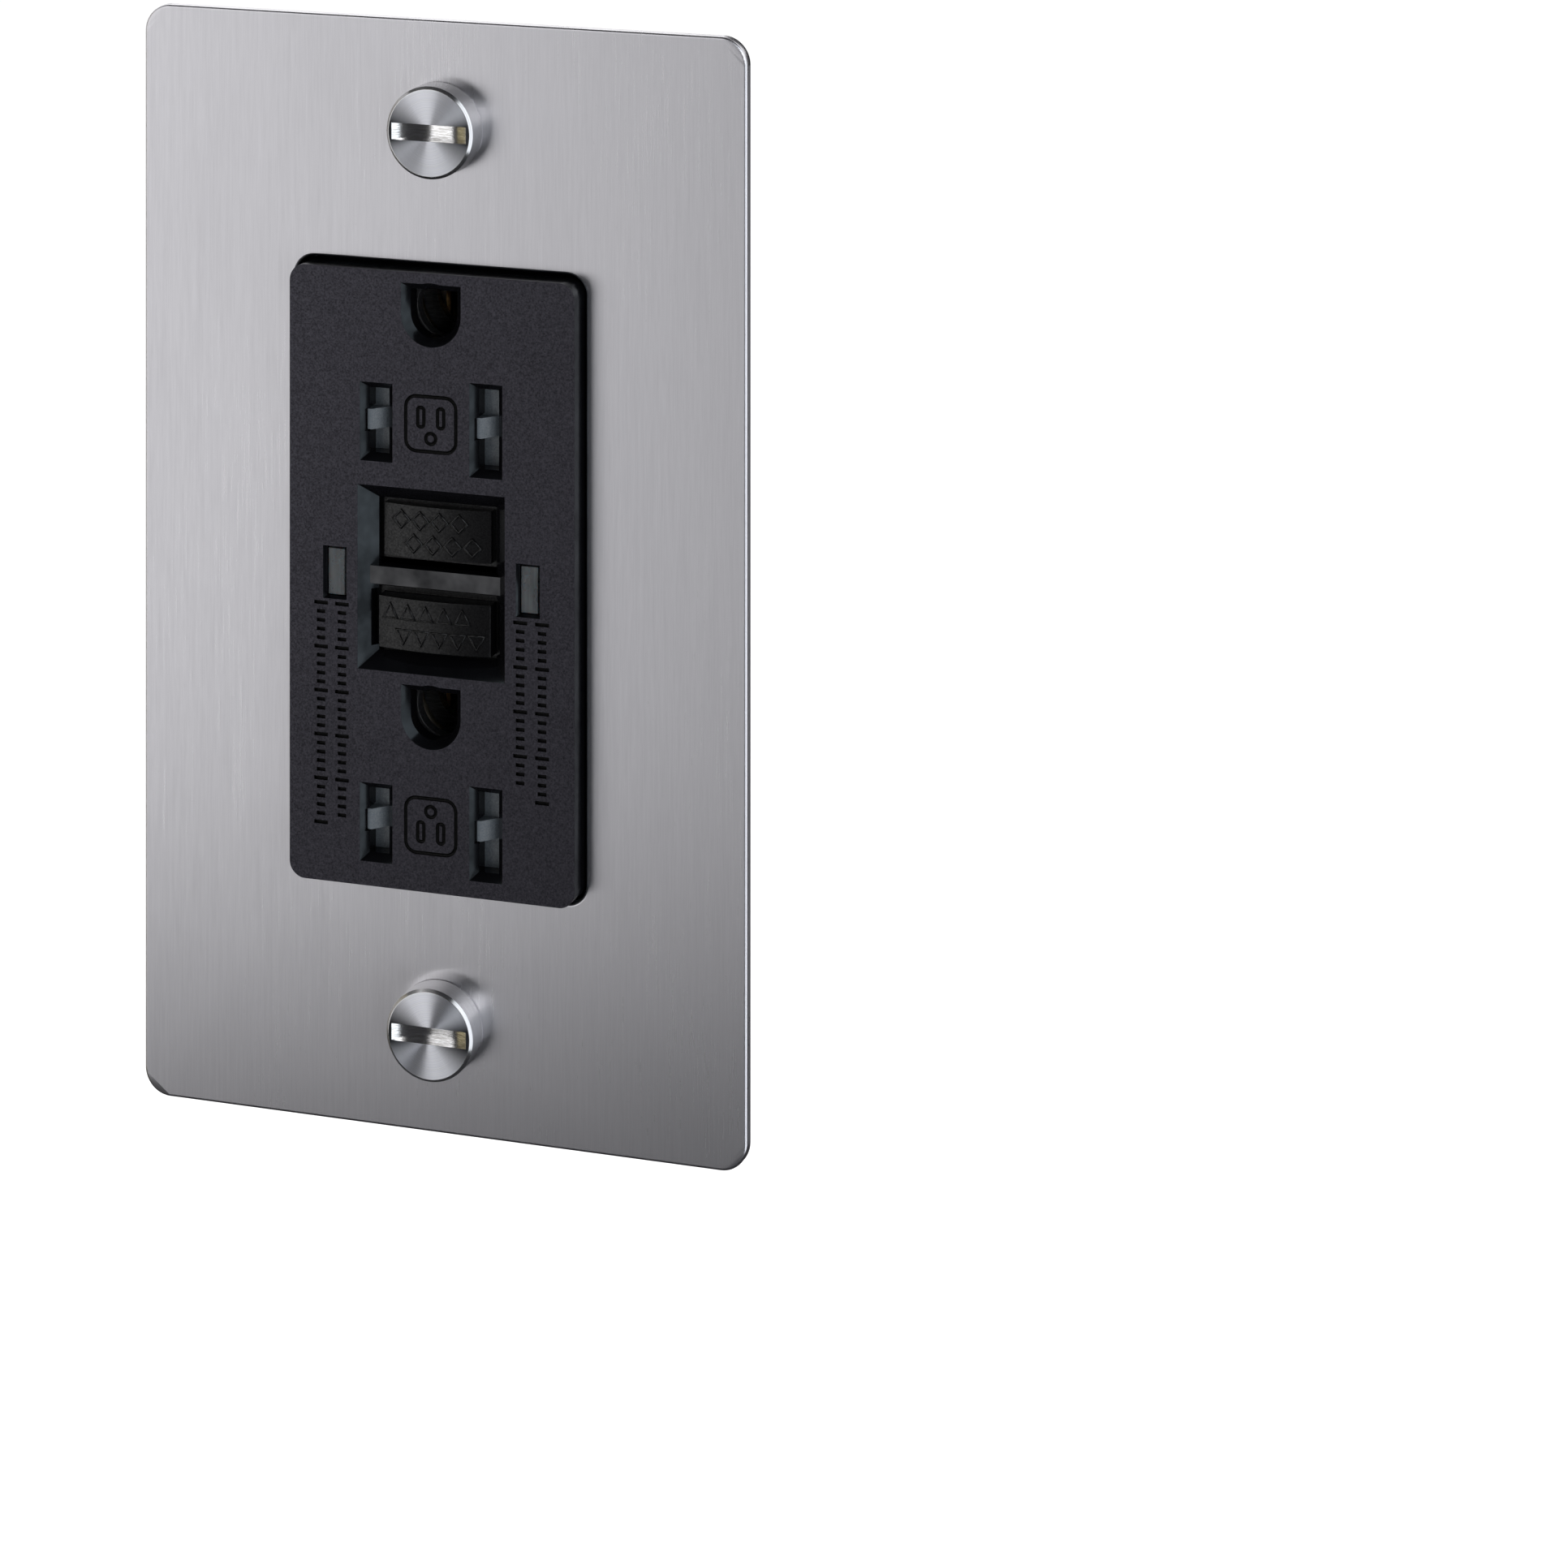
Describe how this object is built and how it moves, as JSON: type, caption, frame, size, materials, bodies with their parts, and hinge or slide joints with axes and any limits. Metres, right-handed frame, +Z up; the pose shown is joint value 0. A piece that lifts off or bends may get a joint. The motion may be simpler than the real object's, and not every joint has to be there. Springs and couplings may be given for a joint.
{
  "type": "metal wall plate with ground-fault duplex receptacle",
  "caption": "Brushed metal wall plate held by coin-slot screws over a duplex receptacle with ground-fault trip, shuttered blade slots, test and reset buttons.",
  "frame": {"origin": "centre of the wall plate on the wall surface, midway between the two box screws", "axes": "+X across the plate, to the right seen from the room; +Y into the wall; +Z up the plate"},
  "size_m": [0.07, 0.0346, 0.12],
  "materials": {
    "brushed_plate": "vertical brushed grain, satin",
    "liner": "matte moulded",
    "coin_screw": "turned face, polished edge",
    "face_plastic": "fine matte charcoal",
    "button_plastic": "semi-gloss black",
    "lens": "translucent frosted",
    "shutter_plastic": "matte blue-grey",
    "galvanised": "zinc plated, rolled",
    "brass": "rolled strip",
    "green_screw": "green dyed zinc",
    "steel_screw": "zinc plated",
    "brass_screw": "plated",
    "carrier_plastic": "natural nylon",
    "housing_plastic": "matte moulded",
    "copper": "copper alloy strip",
    "silver_contact": "silver alloy",
    "spring_steel": "spring wire",
    "latch_plastic": "matte red nylon",
    "winding": "enamelled copper",
    "bobbin_plastic": "natural nylon",
    "board": "solder mask",
    "ferrite": "coated core",
    "epoxy_blue": "epoxy dip",
    "component_black": "moulded epoxy",
    "component_mix": "dipped",
    "led_white": "diffused"
  },
  "bodies": {
    "device": {"front_cover": "face_plastic", "light_pipe_left": "lens", "light_pipe_right": "lens", "shutter_springs": "spring_steel", "shutter_carrier": "housing_plastic", "mounting_strap": "galvanised", "ground_contact_top": "brass", "ground_contact_bottom": "brass", "contact_carrier": "carrier_plastic", "rear_housing": "housing_plastic", "assembly_screws": "steel_screw", "load_hot_bar": "brass", "load_neutral_bar": "brass", "line_hot_terminal": "brass", "line_neutral_terminal": "galvanised", "hot_lead": "copper", "neutral_lead": "copper", "fixed_contacts": "silver_contact", "reset_spring": "spring_steel", "test_pin": "steel_screw", "plunger_spring": "spring_steel", "solenoid_bobbin": "bobbin_plastic", "solenoid_winding": "winding", "solenoid_frame": "galvanised", "circuit_board": "board", "transformer_cores": "ferrite", "transformer_windings": "winding", "transformer_boat": "component_black", "indicator_leds": "led_white", "surge_disc": "epoxy_blue", "power_devices": "component_black", "small_parts": "component_mix", "face_plate": "brushed_plate", "plate_liner": "liner"},
    "coin_screw_top": {"coin_screw_top": "coin_screw"},
    "coin_screw_bottom": {"coin_screw_bottom": "coin_screw"},
    "test_button": {"test_button": "button_plastic"},
    "test_leaf": {"test_leaf": "brass"},
    "reset_button": {"reset_button": "button_plastic", "reset_pin": "steel_screw"},
    "shutter_top": {"shutter_top": "shutter_plastic"},
    "shutter_bottom": {"shutter_bottom": "shutter_plastic"},
    "box_screw_top": {"box_screw_top": "steel_screw"},
    "box_screw_bottom": {"box_screw_bottom": "steel_screw"},
    "ground_screw": {"ground_screw": "green_screw"},
    "latch_block": {"latch_block": "latch_plastic"},
    "latch_plate": {"latch_plate": "galvanised"},
    "plunger": {"plunger": "galvanised"},
    "hot_contact_arm": {"hot_contact_arm": "copper"},
    "neutral_contact_arm": {"neutral_contact_arm": "copper"},
    "load_hot_clamp": {"load_hot_clamp": "galvanised"},
    "load_hot_screw": {"load_hot_screw": "brass_screw"},
    "load_neutral_clamp": {"load_neutral_clamp": "galvanised"},
    "load_neutral_screw": {"load_neutral_screw": "steel_screw"},
    "line_hot_clamp": {"line_hot_clamp": "galvanised"},
    "line_hot_screw": {"line_hot_screw": "brass_screw"},
    "line_neutral_clamp": {"line_neutral_clamp": "galvanised"},
    "line_neutral_screw": {"line_neutral_screw": "steel_screw"}
  },
  "joints": [
    {"name": "test_press", "type": "slide", "parent": "device", "child": "test_button", "axis": [0, 1, 0], "range_m": [0, 0.0015]},
    {"name": "test_leaf_bend", "type": "hinge", "parent": "device", "child": "test_leaf", "pos_m": [-0.007, 0.005, 0.0049], "axis": [0, 0, 1], "range_deg": [0, 7.2]},
    {"name": "reset_press", "type": "slide", "parent": "device", "child": "reset_button", "axis": [0, 1, 0], "range_m": [0, 0.0025], "deforming": ["reset_spring"]},
    {"name": "contact_lift", "type": "slide", "parent": "device", "child": "latch_block", "axis": [0, -1, 0], "range_m": [0, 0.0015]},
    {"name": "hot_arm_bend", "type": "hinge", "parent": "device", "child": "hot_contact_arm", "pos_m": [-0.0086, 0.0129, -0.018], "axis": [1, 0, 0], "range_deg": [0, 6.7]},
    {"name": "neutral_arm_bend", "type": "hinge", "parent": "device", "child": "neutral_contact_arm", "pos_m": [0.0086, 0.0129, -0.018], "axis": [1, 0, 0], "range_deg": [0, 6.7]},
    {"name": "plunger_pull", "type": "slide", "parent": "device", "child": "plunger", "axis": [0, 0, -1], "range_m": [0, 0.002], "deforming": ["plunger_spring"]},
    {"name": "latch_plate_shift", "type": "slide", "parent": "latch_block", "child": "latch_plate", "axis": [0, 0, -1], "range_m": [0, 0.0021]},
    {"name": "shutter_top_open", "type": "slide", "parent": "device", "child": "shutter_top", "axis": [-1, 0, 0], "range_m": [0, 0.0029], "deforming": ["shutter_springs"]},
    {"name": "shutter_bottom_open", "type": "slide", "parent": "device", "child": "shutter_bottom", "axis": [-1, 0, 0], "range_m": [0, 0.0029], "deforming": ["shutter_springs"]},
    {"name": "coin_screw_top_turn", "type": "hinge", "parent": "device", "child": "coin_screw_top", "pos_m": [0, -0.006, 0.04842], "axis": [0, -1, 0], "continuous": true},
    {"name": "coin_screw_bottom_turn", "type": "hinge", "parent": "device", "child": "coin_screw_bottom", "pos_m": [0, -0.006, -0.04842], "axis": [0, -1, 0], "continuous": true},
    {"name": "box_screw_top_turn", "type": "hinge", "parent": "device", "child": "box_screw_top", "pos_m": [0, 0, 0.04167], "axis": [0, -1, 0], "continuous": true},
    {"name": "box_screw_bottom_turn", "type": "hinge", "parent": "device", "child": "box_screw_bottom", "pos_m": [0, 0, -0.04167], "axis": [0, -1, 0], "continuous": true},
    {"name": "ground_screw_turn", "type": "hinge", "parent": "device", "child": "ground_screw", "pos_m": [-0.0189, 0.0115, -0.03], "axis": [-1, 0, 0], "continuous": true},
    {"name": "load_hot_clamp_open", "type": "slide", "parent": "device", "child": "load_hot_clamp", "axis": [-1, 0, 0], "range_m": [0, 0.0016]},
    {"name": "load_hot_screw_turn", "type": "hinge", "parent": "load_hot_clamp", "child": "load_hot_screw", "pos_m": [-0.0163, 0.015, 0.0195], "axis": [-1, 0, 0], "range_deg": [0, 730]},
    {"name": "load_neutral_clamp_open", "type": "slide", "parent": "device", "child": "load_neutral_clamp", "axis": [1, 0, 0], "range_m": [0, 0.0016]},
    {"name": "load_neutral_screw_turn", "type": "hinge", "parent": "load_neutral_clamp", "child": "load_neutral_screw", "pos_m": [0.0163, 0.015, 0.0195], "axis": [1, 0, 0], "range_deg": [0, 730]},
    {"name": "line_hot_clamp_open", "type": "slide", "parent": "device", "child": "line_hot_clamp", "axis": [-1, 0, 0], "range_m": [0, 0.0016]},
    {"name": "line_hot_screw_turn", "type": "hinge", "parent": "line_hot_clamp", "child": "line_hot_screw", "pos_m": [-0.0163, 0.015, -0.0125], "axis": [-1, 0, 0], "range_deg": [0, 730]},
    {"name": "line_neutral_clamp_open", "type": "slide", "parent": "device", "child": "line_neutral_clamp", "axis": [1, 0, 0], "range_m": [0, 0.0016]},
    {"name": "line_neutral_screw_turn", "type": "hinge", "parent": "line_neutral_clamp", "child": "line_neutral_screw", "pos_m": [0.0163, 0.015, -0.0125], "axis": [1, 0, 0], "range_deg": [0, 730]}
  ],
  "couplings": [
    {"joint": "test_leaf_bend", "follows": "test_press", "rad_per_m": 79.5},
    {"joint": "hot_arm_bend", "follows": "contact_lift", "rad_per_m": 75.6},
    {"joint": "neutral_arm_bend", "follows": "contact_lift", "rad_per_m": 75.6},
    {"joint": "latch_plate_shift", "follows": "plunger_pull", "ratio": 1},
    {"joint": "load_hot_screw_turn", "follows": "load_hot_clamp_open", "rad_per_m": 7913.3},
    {"joint": "load_neutral_screw_turn", "follows": "load_neutral_clamp_open", "rad_per_m": 7913.3},
    {"joint": "line_hot_screw_turn", "follows": "line_hot_clamp_open", "rad_per_m": 7913.3},
    {"joint": "line_neutral_screw_turn", "follows": "line_neutral_clamp_open", "rad_per_m": 7913.3}
  ]
}
